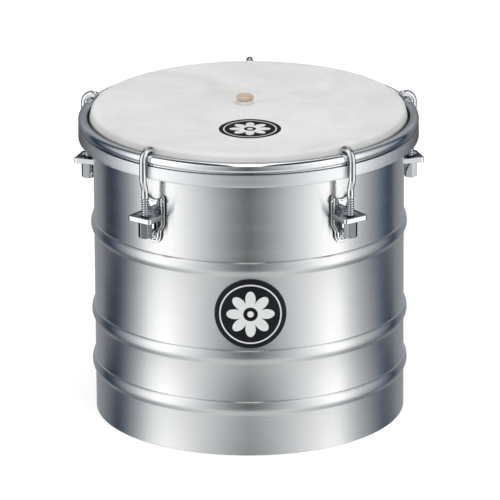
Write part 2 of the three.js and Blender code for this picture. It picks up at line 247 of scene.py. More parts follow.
# The fine lines that a brush leaves round a turned sheet: noise that is long round the piece and
# thin up it, with a slower one that makes some bands duller than others.
brush_lines, inside, out = new_group(
    "brush lines", {"Lines per metre": 2600.0, "Slow lines": 260.0}, ["Lines", "Bands"])
x, y, z = object_xyz(brush_lines)
for count, round_scale, target in (("Lines per metre", 9.0, "Lines"), ("Slow lines", 5.0, "Bands")):
    drawn = add(brush_lines, "CombineXYZ", X=times(x, round_scale), Y=times(y, round_scale),
                Z=times(z, inside.outputs[count]))
    feed(out, **{target: noise(drawn.outputs[0], 1.0, 3.0, 0.55)})

# Handling marks: soft cloudy smudges and sparse dull specks, such as fingers and cloths leave.
handling, inside, out = new_group(
    "handling marks", {"Cloud size": 28.0, "Speck size": 900.0}, ["Cloud", "Specks"])
place = object_place(handling)
speck = noise(place, inside.outputs["Speck size"], 2.0)
feed(out, Cloud=noise(place, inside.outputs["Cloud size"], 4.0, 0.6, 0.4), Specks=spread(speck, 0.62, 0.75))


def group_outputs(tree, group, **inputs):
    """Puts a node group into a material with its own values, and gives its outputs."""
    return add(tree, "Group", set_node_tree=group, **inputs).outputs


rolled_aluminium, tree, shader = new_material("rolled_aluminium")
lines = group_outputs(tree, brush_lines, Lines_per_metre=2400.0, Slow_lines=230.0)
marks = group_outputs(tree, handling, Cloud_size=16.0, Speck_size=700.0)
dull = plus(spread(lines["Bands"], 0.3, 0.7, 0.24, 0.28), spread(marks["Cloud"], 0.35, 0.7, -0.012, 0.02))
round_piece = add(tree, "Tangent", set_direction_type="RADIAL", set_axis="Z")
feed(shader, Base_Color=mix(lines["Bands"], (0.775, 0.784, 0.776), (0.823, 0.832, 0.825)), Metallic=1.0,
     Roughness=dull, Anisotropic=1.0, Anisotropic_Rotation=0.25, Tangent=round_piece.outputs[0],
     Normal=bump(lines["Lines"], 0.05, 0.04 * mm))
shell_points = turned(shell_profile, 360, axis)
dress(surface("drum_shell", shell_points), rolled_aluminium, "drum", "shell")

# Lugs: five chromed cast brackets round the shell. Each has a flanged plate with raised sides and
# a round lower lobe, and a thick ledge with the hole for the rod. One screw with a domed head
# goes through the lobe and is held inside by a washer and a nut.
station_angles = np.radians((np.arange(5) + 0.5) * 72)
rear_lug_low, rear_lug_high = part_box("lug_3")
rear_nut_low, rear_nut_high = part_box("tuning_nut_3")
plate_face, plate_thickness = shell_radius + 0.3 * mm, 1.8 * mm
lug_rise = 11.8 * mm
lug_half = (rear_lug_high.x - rear_lug_low.x) / 2
ledge_top, ledge_thickness = rear_lug_high.z - lug_rise, 3.5 * mm
ledge_under = ledge_top - ledge_thickness
ledge_reach = rear_lug_high.y - axis[1]
rod_axis = (rear_nut_low.y + rear_nut_high.y) / 2 - axis[1]
rod_hole, rod_hole_soft = 2.65 * mm, 0.3 * mm
screw_level = ledge_top - 14.5 * mm


def stationed(points, angle):
    """Turns points about the drum's axis, from the front, where a piece faces -Y, to a station:
    the plane turn by the cosine and sine of its angle, plus the axis's place."""
    x, y, z = np.moveaxis(points, -1, 0)
    turned_x = x * math.cos(angle) - y * math.sin(angle)
    turned_y = x * math.sin(angle) + y * math.cos(angle)
    return np.stack([turned_x, turned_y, z], -1) + axis


def facing_out(points, level=0.0):
    """Carries points from (across, up, out) to the front of the drum: x, minus y and z."""
    return np.stack([points[..., 0], -points[..., 2], points[..., 1] + level], -1)


def at_stations(name, node, material, slot, *grids, body="drum", sharp=38.0):
    """Makes and dresses the same piece at each of the five stations."""
    for number, angle in enumerate(station_angles, 1):
        piece = surface(f"{name}_{number}", *(stationed(points, angle) for points in grids), sharp=sharp)
        dress(piece, material, body, f"{node}_{number}")


def unit(vectors):
    """Vectors brought to length one."""
    return vectors / np.linalg.norm(vectors, axis=-1, keepdims=True)


def to_right(ahead):
    """Unit vectors a quarter turn to the right of others."""
    return unit(np.stack([ahead[:, 1], -ahead[:, 0]], -1))


def bends(corners, before, after, cut, steps):
    """Points round each corner of an outline: a quadratic curve that leaves the side towards the
    point before a cut away from the corner, and joins the side towards the point after likewise."""
    start, end = (corners + unit(other - corners) * cut for other in (before, after))
    s = np.linspace(0, 1, steps + 1)[:, None, None]
    curve = (1 - s) ** 2 * start + 2 * s * (1 - s) * corners + s**2 * end
    return curve.transpose(1, 0, 2).reshape(-1, 2)


def outward_of(outline):
    """Unit vectors square to an anticlockwise outline, out of it."""
    return to_right(np.roll(outline, -1, 0) - np.roll(outline, 1, 0))


def lifted(outline, height):
    """An outline at a height, or at one for each of its points."""
    return np.column_stack([outline, np.broadcast_to(height, len(outline))])


def closed_with_poles(outline, rows, low, high):
    """Rows between two poles in the outline's middle, at a low and a high level."""
    middle = np.tile(outline.mean(0), (len(outline), 1))
    return np.array([lifted(middle, low), *rows, lifted(middle, high)])


def slab(outline, low, high, edge, hole=None, steps=4):
    """Points of a plate with rounded edges over an anticlockwise outline. Each row is the
    outline drawn in by the edge radius times (1 - sine), at the height where a quarter circle
    has that sine, up one side and in again over the top. A plain plate closes in its middle; one
    with a hole goes down through it, and its rows loop."""
    outward = outward_of(outline)
    angle = np.linspace(0, math.pi / 2, steps + 1)
    drawn, height = edge * (1 - np.sin(angle)), edge * (1 - np.cos(angle))
    draws = np.concatenate([drawn, drawn[::-1]])
    levels = np.concatenate([low + height, high - height[::-1]])
    rows = [lifted(outline - outward * d, z) for d, z in zip(draws, levels)]
    if hole is None:
        return closed_with_poles(outline, rows, low, high)
    centre, radius, soft = hole
    toward = unit(outline - centre)
    part = soft * 0.3
    wall = [(radius + soft, high), (radius + part, high - part), (radius, high - soft),
            (radius, low + soft), (radius + part, low + part), (radius + soft, low)]
    return np.array([*rows, *(lifted(centre + toward * r, z) for r, z in wall)])


def plate_outline():
    """The lug's plate seen from outside: a round lobe below, a widening whose half width grows by
    3 u^2 - 2 u^3 of its way u, straight sides with rounded upper corners, and an upper edge that
    is hollow: it dips by the sag times one minus the square of the way out."""
    corner, sag, lobe_radius = 1.5 * mm, 3.4 * mm, 5.8 * mm
    widening_from, widening_to = 1.6 * mm, 5.0 * mm
    top = ledge_top + lug_rise
    lobe_level = rear_lug_low.z + lobe_radius
    lobe_angle = np.linspace(math.pi, 2 * math.pi, 25)
    lobe = np.stack([lobe_radius * np.cos(lobe_angle), lobe_level + lobe_radius * np.sin(lobe_angle)], -1)
    way = np.linspace(0, 1, 11)
    climb = ledge_under - widening_to - lobe_level
    widening = np.stack([lobe_radius + (lug_half - lobe_radius) * (3 * way**2 - 2 * way**3),
                         lobe_level + widening_from + way * climb], -1)
    upper_corner = arc(lug_half - corner, top - corner, corner, 0, 90, 6)
    side = widening[-1] + (upper_corner[0] - widening[-1]) * np.linspace(0, 1, 9)[1:-1, None]
    across = np.linspace(1, -1, 33)[1:-1]
    upper = np.stack([across * (lug_half - corner), top - sag * (1 - across**2)], -1)
    right = np.concatenate([widening, side, upper_corner])
    return np.concatenate([lobe, right, upper, right[::-1] * [-1, 1]])


def rimmed_plate(outline, base):
    """Points of the cast plate. Each row is the outline drawn in square to itself by a distance,
    at a height over the base: up the flange's side, in over the flange, up the step to a raised
    rim, and down a bevel to the flat middle. Along the upper edge the rim fades away, and round
    the lobe the bevel is narrower."""
    outward = outward_of(outline)
    fade, side_width, side_fade = 2 * mm, 2.4 * mm, 1.0 * mm
    lobe_bevel, more_above, rim_width = 0.7 * mm, 1.5 * mm, 1.2 * mm
    over_ledge = np.clip((outline[:, 1] - ledge_top) / fade, 0, 1)
    at_side = np.clip((np.abs(outline[:, 0]) - lug_half + side_width) / side_fade, 0, 1)
    rim = 1 - over_ledge * (1 - at_side)
    bevel = lobe_bevel + more_above * over_ledge
    flange, crest, step, soft, tight, foot = 1.2 * mm, 2.6 * mm, 1.1 * mm, 0.35 * mm, 0.3 * mm, 0.45 * mm
    route = np.concatenate([
        arc(foot, foot, foot, 270, 180, 3), arc(tight, flange - tight, tight, 180, 90, 3),
        [[step - 0.1 * mm, flange], [step, flange + 0.1 * mm]],
        arc(step + soft, crest - soft, soft, 180, 90, 4),
        arc(step + 0.95 * mm, crest - tight, tight, 90, 60, 2),
    ])
    rows = []
    for drawn, height in route:
        raised = plate_thickness + (height - plate_thickness) * rim
        over = np.where(height > plate_thickness, raised, height)
        rows.append(lifted(outline - outward * drawn, base + over))
    flat = outline - outward * (step + rim_width + bevel)[:, None]
    rows.append(lifted(flat, base + plate_thickness))
    return closed_with_poles(outline, rows, base, base + plate_thickness)


def root_fillet():
    """Points of the hollow fillet under the ledge: a quarter circle between the plate's face and
    the ledge's under side, carried across the lug's width."""
    radius, sunk, half = 2.4 * mm, 0.6 * mm, lug_half - 1.2 * mm
    hollow = arc(radius, -radius, radius, 180, 90, 8)
    outline = np.concatenate([[[-sunk, sunk], [-sunk, -radius]], hollow, [[radius, sunk]]])
    points = slab(outline, -half, half, 0.25 * mm)
    out_by = plate_face + plate_thickness + points[..., 0]
    return np.stack([-points[..., 2], -out_by, ledge_under + points[..., 1]], -1)


def ledge_outline():
    """The ledge seen from above, in even steps: straight sides, and corners rounded by 1.8 mm
    outside and by 0.2 mm in the plate."""
    inner = -plate_face - plate_thickness / 2
    corners = np.array([[-lug_half, -ledge_reach], [lug_half, -ledge_reach],
                        [lug_half, inner], [-lug_half, inner]])
    cut = np.array([1.8 * mm, 1.8 * mm, 0.2 * mm, 0.2 * mm])[:, None]
    rough = bends(corners, np.roll(corners, 1, 0), np.roll(corners, -1, 0), cut, 8)
    loop = np.concatenate([rough, rough[:1]])
    along = np.concatenate([[0], np.cumsum(np.linalg.norm(np.diff(loop, axis=0), axis=1))])
    reached = np.linspace(0, 1, 400)[:-1][::4] * along[-1]
    return np.stack([np.interp(reached, along, loop[:, k]) for k in (0, 1)], -1)


def chrome_plated(name, dull, bright):
    """Polished chrome between two greys. Its colour is painted dark where it turns away from the eye, as
    painted shade at its edges, and painted near black where it lies close to the shell's wall, as painted
    shade in the contact with the shell."""
    material, tree, shader = new_material(name)
    marks = group_outputs(tree, handling, Cloud_size=45.0, Speck_size=1100.0)
    facing = add(tree, "LayerWeight", Blend=0.5).outputs["Facing"]
    plating = mix(marks["Cloud"], dull, bright)
    # Painted shade: the colour goes dark at grazing edges.
    edge_shaded = mix(spread(facing, 0.34, 0.84, 0.0, 0.92), plating, (0.08, 0.09, 0.105))
    off_axis = add(tree, "VectorMath", set_operation="MULTIPLY_ADD", in0=object_place(tree), in1=(1, 1, 0),
                   in2=(-axis[0], -axis[1], 0))
    out_by = add(tree, "VectorMath", set_operation="LENGTH", in0=off_axis.outputs[0]).outputs["Value"]
    # Painted shade: near black within 1.5 mm of the shell, for the contact shadow.
    contact_shade = spread(out_by, shell_radius + 0.6 * mm, shell_radius + 1.5 * mm, 0.92, 0.0)
    gloss = plus(spread(marks["Cloud"], 0.35, 0.7, 0.03, 0.07), times(marks["Specks"], 0.10))
    feed(shader, Base_Color=mix(contact_shade, edge_shaded, (0.03, 0.033, 0.04)), Metallic=1.0, Roughness=gloss,
         Specular_Tint=(0.25, 0.26, 0.28), Normal=bump(marks["Cloud"], 0.06, 0.1 * mm))
    return material


chrome = chrome_plated("chrome_plate", (0.73, 0.745, 0.76), (0.83, 0.84, 0.85))
plate = facing_out(rimmed_plate(plate_outline(), plate_face))
ledge_hole = (np.array([0, -rod_axis]), rod_hole, rod_hole_soft)
ledge = slab(ledge_outline(), ledge_under, ledge_top, 0.5 * mm, ledge_hole)
at_stations("lug_bracket", "lug", chrome, "chrome", plate, ledge, root_fillet())


def pan_screw():
    """(across, up, out) points of a lug screw. The shank is straight; the head is a dome whose
    height falls with the radius to the power 2.4, and a cross is sunk in it: a slope towards the
    middle wherever a point lies within 0.42 mm of either crossing line."""
    seat, tip = plate_face + plate_thickness + 0.3 * mm, shell_inner - 6.2 * mm
    shank, chamfer, head, rise, brim = 2.0 * mm, 0.4 * mm, 3.1 * mm, 1.8 * mm, 0.35 * mm
    arm_half, arm_reach, sunk = 0.42 * mm, 1.75 * mm, 0.85 * mm
    arm_soft, end_soft, shallower = 0.16 * mm, 0.25 * mm, 0.25
    reach = np.linspace(1, 0, 18)
    dome = np.stack([head * reach, seat + brim + (rise - brim) * (1 - reach**2.4)], -1)
    below = [[0, tip], [shank - chamfer, tip], [shank, tip + chamfer], [shank, seat],
             [head - 0.1 * mm, seat], [head, seat + 0.12 * mm]]
    angle = np.linspace(0, 2 * math.pi, 64, endpoint=False)
    radius, out_by = np.concatenate([below, dome]).T[:, :, None]
    x, y = radius * np.cos(angle), radius * np.sin(angle)
    off_arm = np.minimum(np.abs(x), np.abs(y))
    wall = np.clip((arm_half - off_arm) / arm_soft, 0, 1)
    wall = wall * np.clip((arm_reach - radius) / end_soft, 0, 1)
    depth = wall * sunk * (1 - shallower * radius / arm_reach)
    is_dome = (np.arange(len(radius)) >= len(below))[:, None]
    return np.stack([x, y, out_by + 0 * angle - np.where(is_dome, depth, 0)], -1)


at_stations("lug_screw_head", "lug_screw", chrome, "chrome", facing_out(pan_screw(), screw_level), sharp=30)


def hexagon_nut(flats, height, bore, edge_steps=3):
    """(x, y, z) points of a nut with its lower face at zero. A point's radius is the smallest of
    the hexagon's, half the flats over the cosine of the angle from the nearest flat's middle,
    that of its worn corners, and that of a 30 degree cone at each end; the bore is countersunk
    at both ends."""
    worn_corner, cone_share, sink = 0.972, 0.965, 0.5 * mm
    corner, face = flats / math.sqrt(3), flats / 2 * cone_share
    slope = math.tan(math.radians(30))
    angle = np.linspace(0, 2 * math.pi, 145)[:-1]
    off_middle = (angle + math.pi / 6) % (math.pi / 3) - math.pi / 6
    hexagon = np.minimum(flats / 2 / np.cos(off_middle), corner * worn_corner)
    climb = np.linspace(0, (corner - face) * slope, edge_steps * 2)
    levels = np.concatenate([climb, height - climb[::-1]])
    cone = face + np.minimum(levels, height - levels) / slope
    walls = np.array([(bore + sink, height), (bore, height - sink), (bore, sink), (bore + sink, 0)])
    inner = np.broadcast_to(walls[:, :1], (len(walls), len(angle)))
    radius = np.concatenate([np.minimum(hexagon, cone[:, None]), inner])
    levels = np.concatenate([levels, walls[:, 1]])
    return np.stack([radius * np.cos(angle), radius * np.sin(angle), levels[:, None] + 0 * angle], -1)


def flat_washer(radius, bore, thickness, soft):
    """(x, y, z) points of a stamped washer: a square ring whose upper edge is rolled over."""
    return turned([[bore, 0], [radius, 0], [radius, thickness - soft], [radius - soft, thickness],
                   [bore + soft, thickness], [bore, thickness - soft]], 48)


zinc_steel, tree, shader = new_material("zinc_plated_steel")
marks = group_outputs(tree, handling, Cloud_size=160.0, Speck_size=1400.0)
feed(shader, Base_Color=mix(marks["Cloud"], (0.50, 0.51, 0.50), (0.70, 0.70, 0.67)), Metallic=1.0,
     Roughness=spread(marks["Cloud"], 0.3, 0.7, 0.26, 0.44), Normal=bump(marks["Specks"], 0.15, 0.05 * mm))
washer_thickness, lug_nut_height, lug_bore = 1.0 * mm, 3.2 * mm, 2.4 * mm
washer_out = shell_inner - 0.7 * mm
nut_out = washer_out - washer_thickness - 0.3 * mm
washer = flat_washer(4.6 * mm, lug_bore, washer_thickness, 0.25 * mm) * [1, 1, -1] + [0, 0, washer_out]
lug_nut = hexagon_nut(7 * mm, lug_nut_height, lug_bore) + [0, 0, nut_out - lug_nut_height]
for name, node, points in (("lug_washer_ring", "lug_washer", washer[::-1]),
                           ("lug_hex_nut", "lug_nut", lug_nut)):
    at_stations(name, node, zinc_steel, "plated_steel", facing_out(points, screw_level), sharp=25)

# Badge: a disc of thin black foil on the front of the shell, with a silver rim and a plain
# rosette printed in silver. It is stuck on, and follows the curve of the wall.
badge_low, badge_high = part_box("shell_badge")
badge_radius, badge_thickness, badge_face = 23.4 * mm, 0.5 * mm, shell_radius + 0.3 * mm
badge_level = (badge_low.z + badge_high.z) / 2
badge_turn = math.radians(0.85)


def disc_on_wall(radius, face, thickness, level, rings=22, sides=120):
    """Points of a thin disc wrapped on an upright cylinder. A flat place (u, v), in shares of the
    disc's radius, goes to the angle u / face round the axis at height v; the front is pillowed
    down to the wall over the outermost 6 per cent."""
    flat = 0.94
    bent = flat + (1 - flat) * np.sin(np.linspace(0, math.pi / 2, 6))[1:]
    share = np.concatenate([np.linspace(0, flat, rings), bent])
    front = face + thickness * np.sqrt(np.clip(1 - ((share - flat).clip(0) / (1 - flat)) ** 2, 0, 1))
    share = np.concatenate([[0], share[::-1]])[:, None]
    reach = np.concatenate([[face], front[::-1]])[:, None]
    angle = np.linspace(0, 2 * math.pi, sides, endpoint=False)
    turn, height = share * np.cos(angle) * radius / face, share * np.sin(angle) * radius + level
    return np.stack([reach * np.sin(turn), -reach * np.cos(turn), height], -1)


def within(value, limit, softness):
    """1 below the limit, 0 above it, with a soft step of the given width."""
    over = calculate("DIVIDE", minus(limit, value), softness)
    step = add(value.id_data, "Math", set_operation="ADD", set_use_clamp=True, in0=over, in1=0.5)
    return step.outputs[0]


# The print that the badge and the skin share: a ring near the rim, and a rosette of eight
# petals round a small dot. Its place comes in as (u, v) shares of the disc's radius.
rosette, inside, out = new_group(
    "rosette print", {"Place": (0, 0, 0), "Softness": 0.012}, ["Disc", "Silver"])
soft = inside.outputs["Softness"]
length = add(rosette, "VectorMath", set_operation="LENGTH", in0=inside.outputs["Place"]).outputs["Value"]
u, v, _ = add(rosette, "SeparateXYZ", Vector=inside.outputs["Place"]).outputs
petal = calculate("ABSOLUTE", calculate("COSINE", times(calculate("ARCTAN2", v, u), 4.0)))
petal_reach = plus(times(calculate("POWER", petal, 0.7), 0.36), 0.30)
petals, rim = (times(within(length, outer, soft), minus(1.0, within(length, inner, soft)))
               for outer, inner in ((petal_reach, 0.20), (0.86, 0.82)))
silver = calculate("MAXIMUM", calculate("MAXIMUM", petals, rim), within(length, 0.09, soft))
feed(out, Disc=within(length, 1.0, soft), Silver=silver)

black_foil, tree, shader = new_material("black_foil")
x, y, z = object_xyz(tree)
sweep = minus(calculate("ARCTAN2", x, minus(axis[1], y)), badge_turn)
flat = add(tree, "CombineXYZ", X=times(sweep, badge_face / badge_radius),
           Y=calculate("DIVIDE", minus(z, badge_level), badge_radius))
printed = group_outputs(tree, rosette, Place=flat.outputs[0], Softness=0.012)["Silver"]
cloud = group_outputs(tree, handling, Cloud_size=60.0, Speck_size=1500.0)["Cloud"]
ground = mix(cloud, (0.007, 0.008, 0.010), (0.012, 0.014, 0.017))
feed(shader, Base_Color=mix(printed, ground, (0.80, 0.81, 0.81)), Specular_IOR_Level=0.25,
     Roughness=spread(cloud, 0.3, 0.7, 0.26, 0.38), Normal=bump(printed, 0.3, 0.06 * mm))
badge_points = disc_on_wall(badge_radius, badge_face, badge_thickness, badge_level)
badge = surface("front_badge", stationed(badge_points, badge_turn))
dress(badge, black_foil, "drum", "shell_badge")

# Flesh hoop and the edge of the skin: a flat steel ring, zinc plated, that the counterhoop pulls
# down outside the shell. The wet skin comes down off the shell's edge as a cone, goes over the
# ring, down its outer side and under it, and dries there with its cut edge tucked up inside.
ring_low, ring_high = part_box("flesh_hoop")
ring_inner, ring_soft = shell_radius + 2.7 * mm, 0.6 * mm
ring_base, ring_crown = ring_low.z + 1.5 * mm, ring_high.z - 1.6 * mm
ring_corners = ((2.4 * mm, ring_base, 270), (2.4 * mm, ring_crown, 0),
                (ring_soft, ring_crown, 90), (ring_soft, ring_base, 180))
ring_profile = np.concatenate([arc(ring_inner + out_by, level, ring_soft, start, start + 90, 4)
                               for out_by, level, start in ring_corners])
ring_points = turned(ring_profile, 240, axis)
dress(surface("steel_flesh_hoop", ring_points), zinc_steel, "rim", "flesh_hoop")

# The cone that the skin makes outside the shell's edge: where it begins, how far it runs out for
# each unit that it goes down, and the level where the playing sheet passes into the lapped edge.
skin_rise, skin_thickness, lap_thickness = 2.2 * mm, 1.0 * mm, 0.7 * mm
skin_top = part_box("head_skin")[1].z - skin_rise
shoulder = edge_radius + 0.3 * mm + skin_thickness
cone_run = 0.26
cone_tilt = math.atan(cone_run)
lap_level = skin_top - 6.2 * mm
cone_level = edge_level + shoulder * math.sin(cone_tilt)
lap_radius = edge_axis + shoulder * math.cos(cone_tilt) + cone_run * (cone_level - lap_level)
lap_line = lap_radius - lap_thickness / 2
ring_out, ring_in = ring_inner + 3.45 * mm, ring_inner - 0.5 * mm
over_ring, under_ring = ring_high.z - 0.45 * mm, ring_low.z + 0.42 * mm
lap_route = np.array([
    [lap_line, lap_level], [lap_line + 0.55 * mm, lap_level - 2.1 * mm],
    [ring_in + 0.2 * mm, ring_high.z + 1.2 * mm], [ring_in + 0.5 * mm, over_ring],
    [ring_out, over_ring], [ring_out, under_ring],
    [ring_in - 0.1 * mm, under_ring], [ring_in - 0.1 * mm, ring_low.z + 2.9 * mm]])


def sheet_along(route, thickness, steps=6):
    """A closed (radius, height) profile of a sheet of even thickness along a route: the route
    rounded at its corners, then moved half the thickness to its right and back to its left."""
    inner = route[1:-1]
    cut = 0.48 * np.min([np.linalg.norm(other - inner, axis=1) for other in (route[:-2], route[2:])], 0)
    line = np.concatenate([route[:1], bends(inner, route[:-2], route[2:], cut[:, None], steps), route[-1:]])
    right = to_right(np.gradient(line, axis=0))
    return np.concatenate([line + right * thickness / 2, (line - right * thickness / 2)[::-1]])


# The skin's own colour and surface: scraped goat skin, off-white, with cloudy thicker areas, a
# faint grain of fibres that runs one way across the hide, fine pores and a few veins. Where it
# goes down beside the hoop it is painted near black, as painted shade in the gap.
scraped_skin, tree, shader = new_material("scraped_goat_skin")
place = object_place(tree)
along = add(tree, "Mapping", Vector=place, Rotation=(0, 0, math.radians(24)), Scale=(14, 60, 30))
fibre = noise(along.outputs[0], 1.0, 6.0, 0.62, 0.6)
clouds = noise(place, 17.0, 5.0, 0.6, 0.9)
pores = noise(place, 900.0, 2.0, 0.6)
vein_bend = add(tree, "TexNoise", Vector=place, Scale=9.0, Detail=2.0).outputs["Color"]
bent_place = mix(0.12, place, vein_bend)
veins = add(tree, "TexVoronoi", set_feature="DISTANCE_TO_EDGE", Vector=bent_place, Scale=11.0)
vein = times(spread(veins.outputs["Distance"], 0.0, 0.035, 1.0, 0.0), spread(clouds, 0.45, 0.62, 0.0, 0.10))
pale = mix(spread(fibre, 0.3, 0.72), (0.672, 0.672, 0.657), (0.722, 0.723, 0.715))
cloudy = mix(spread(clouds, 0.36, 0.66, 0.0, 0.85), pale, (0.825, 0.827, 0.820))
veined = mix(vein, cloudy, (0.55, 0.50, 0.44))
print_radius = 20.15 * mm
print_x, print_y, _ = (axis + np.array([1.35, -48.5, 0]) * mm) / print_radius
print_place = add(tree, "Mapping", Vector=place, Location=(-print_x, -print_y, 0),
                  Scale=(1 / print_radius, 1 / print_radius, 0))
stamp = group_outputs(tree, rosette, Place=print_place.outputs[0], Softness=0.02)
level = object_xyz(tree)["Z"]
on_top = spread(level, skin_top - 0.4 * mm, skin_top - 0.2 * mm)
stamped = times(times(stamp["Disc"], on_top), spread(pores, 0.25, 0.5, 0.965, 1.0))
inked = mix(times(stamped, minus(1.0, times(stamp["Silver"], 0.97))), veined, (0.004, 0.006, 0.009))
# Painted shade: near black from 4.6 mm below the top downwards, in the gap beside the hoop.
tuck_shade = spread(level, skin_top - 6.6 * mm, skin_top - 4.6 * mm, 0.88, 0.0)
feed(shader, Base_Color=mix(tuck_shade, inked, (0.05, 0.05, 0.05)), Specular_IOR_Level=0.05,
     Roughness=spread(fibre, 0.3, 0.7, 0.62, 0.50),
     Normal=bump(plus(times(fibre, 0.7), times(pores, 0.3)), 0.25, 0.12 * mm))
lap_points = turned(sheet_along(lap_route, lap_thickness)[::-1], 300, axis)
lapped_edge = surface("skin_lapped_edge", lap_points, sharp=50)
lapped_edge.data.materials.append(scraped_skin)
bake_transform(lapped_edge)

# Skin head: one sheet of goat skin, 1 mm thick, pulled tight over the turned edge of the shell.
# The stick lifts its middle by 2.2 mm, a little left of the centre, in a shallow cone with fine
# gathers near the tie.
rise_radius, neck_radius, tie_offset = 44 * mm, 5.5 * mm, -2.2 * mm
gather_reach, gather_depth = 16 * mm, 0.16 * mm
tie_level = skin_top + skin_rise
tie_axis = axis + np.array([tie_offset, 0, 0])


def membrane_points(sides=360):
    """Points of the tight skin. Its profile is the cone outside the shell, an arc over the edge,
    the flat, and a rise whose height is (1 - share) to the power 2.6 of the way in; the under
    side is the same a thickness lower. Near the middle the rows slide sideways to the tie, and
    sixteen cosine gathers fade out over 16 mm."""
    share = np.linspace(1, 0, 40) ** 1.6
    radius = neck_radius * 0.9 + share * (rise_radius - neck_radius * 0.9)
    rise = np.stack([radius, skin_top + skin_rise * (1 - share) ** 2.6], -1)
    flat = np.stack([np.linspace(edge_axis, rise_radius, 10)[1:-1], np.full(8, skin_top)], -1)
    top = np.concatenate([flat, rise])
    tilt = math.degrees(cone_tilt)
    profile = np.concatenate([
        [[lap_radius - lap_thickness, lap_level], [lap_radius, lap_level]],
        arc(edge_axis, edge_level, shoulder, tilt, 90, 12), top, (top - [0, skin_thickness])[::-1],
        arc(edge_axis, edge_level, shoulder - skin_thickness, 90, tilt, 8)])
    points = turned(profile, sides)
    distance = np.hypot(points[..., 0], points[..., 1])
    angle = np.arctan2(points[..., 1], points[..., 0])
    inward = 1 - np.clip((distance - neck_radius) / (rise_radius - neck_radius), 0, 1)
    points[..., 0] += tie_offset * inward
    fold = np.clip(1 - (distance - neck_radius) / gather_reach, 0, 1) ** 2
    points[..., 2] += gather_depth * fold * (np.cos(16 * angle + 2 * np.sin(3 * angle)) - 1)
    return points + axis


membrane = surface("head_membrane", membrane_points())
membrane.data.materials.append(scraped_skin)
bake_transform(membrane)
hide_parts("head_skin")

# Neck: the middle of the skin, gathered round the top of the stick. A short collar of it shows
# under the button, and the rest hangs below the head, where the thread holds it.
neck_low, neck_top = (corner.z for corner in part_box("skin_neck"))
neck_bore, neck_end = 3.55 * mm, 4.9 * mm
neck_profile = [
    [neck_bore, neck_low], [neck_end, neck_low], [5.4 * mm, neck_low + 0.5 * mm],
    [neck_radius, neck_low + 2.0 * mm], [neck_radius, tie_level - 3.0 * mm],
    [5.2 * mm, tie_level - 0.6 * mm], [5.0 * mm, tie_level + 0.1 * mm],
    [5.25 * mm, tie_level + 0.35 * mm], [5.4 * mm, tie_level + 0.8 * mm],
    [neck_radius, neck_top - 0.9 * mm], [neck_radius, neck_top - 0.5 * mm],
    [5.3 * mm, neck_top - 0.15 * mm], [neck_end, neck_top], [neck_bore, neck_top]]


def gathered(points, folds, depth, centre, outside=4.2 * mm):
    """Presses upright folds into a turned surface: each radius loses the depth times half of one
    plus a cosine of the folds' count times the angle, where the wall faces outwards."""
    x, y, z = np.moveaxis(points - centre, -1, 0)
    distance, angle = np.hypot(x, y), np.arctan2(y, x)
    press = depth * 0.5 * (1 + np.cos(folds * angle + 1.4 * np.sin(3 * angle))) * (distance > outside)
    scale = 1 - press / np.maximum(distance, mm)
    return np.stack([x * scale, y * scale, z], -1) + centre


neck_points = gathered(turned(neck_profile, 192, tie_axis), 14, 0.3 * mm, tie_axis)
neck = surface("skin_gathered_neck", neck_points, sharp=60)
dress(neck, scraped_skin, "stick", "skin_neck")

# Binding: waxed cotton thread, wound nearly four times round the neck and pulled tight, with both
# ends tucked under the turns.
binding_low, binding_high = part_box("neck_binding")
thread_radius, thread_pitch, thread_tuck, thread_gap = 0.62 * mm, 1.26 * mm, 0.5 * mm, 0.34 * mm
thread_turns = (binding_high.z - binding_low.z - 2 * thread_radius) / thread_pitch


def circles(across, other, sides):
    """Circles of unit radius in the planes of pairs of unit vectors: the first vector times the
    cosine plus the second times the sine of an angle that runs once round."""
    around = np.linspace(0, 2 * math.pi, sides, endpoint=False)[None, :, None]
    return across[:, None] * np.cos(around) + other[:, None] * np.sin(around)


def wound_thread(turn_count, steps_a_turn=60, sides=12):
    """Points of one unbroken thread: its line climbs a helix, a pitch for each turn, and draws in
    by 0.5 mm over the first and last eighth of a turn; a circle of points stands across it and
    closes on the line at both ends."""
    t = np.linspace(0, turn_count, int(turn_count * steps_a_turn))
    tuck = np.clip(1 - np.minimum(t, turn_count - t) * 8, 0, 1)
    radius = neck_radius + thread_gap + thread_radius - thread_tuck * tuck**2
    angle = 2 * math.pi * t
    climb = binding_low.z + thread_radius + t * thread_pitch
    line = np.stack([radius * np.cos(angle), radius * np.sin(angle), climb], -1)
    ahead = unit(np.gradient(line, axis=0))
    side = unit(np.cross(ahead, np.stack([np.cos(angle), np.sin(angle), 0 * angle], -1)))
    size = np.full(len(t), thread_radius)
    size[[0, -1]] = 0
    return line[:, None, :] + circles(np.cross(side, ahead), side, sides) * size[:, None, None]


waxed_thread, tree, shader = new_material("waxed_cotton_thread")
place = object_place(tree)
ply = add(tree, "TexWave", set_wave_type="BANDS", set_bands_direction="DIAGONAL", Vector=place, Scale=900.0,
          Distortion=2.0, Detail=2.0).outputs["Fac"]
feed(shader, Base_Color=mix(ply, (0.42, 0.34, 0.21), (0.66, 0.57, 0.40)),
     Roughness=spread(noise(place, 1400.0, 3.0), 0.3, 0.7, 0.55, 0.85), Normal=bump(ply, 0.6, 0.15 * mm))
binding = surface("neck_thread", wound_thread(thread_turns)[::-1] + tie_axis, sharp=60)
dress(binding, waxed_thread, "stick", "neck_binding")

# Friction stick: a thin bamboo cane, smooth between three swollen growth rings, with its hollow
# open at the lower end. The player rubs it with a damp cloth from inside the shell.
stick_low, stick_high = (corner.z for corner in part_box("friction_stick"))
cane_radius, cane_hollow, hollow_depth = 3.25 * mm, 1.5 * mm, 9 * mm
ring_levels = stick_low + (np.arange(3) + 0.5) * (stick_high - stick_low) / 3.5
swell_height, swell_width = 0.45 * mm, 1.3 * mm
groove_above, groove_depth, groove_width = 1.9 * mm, 0.22 * mm, 0.35 * mm
stain_half, stain_soft = 0.55 * mm, 0.8 * mm


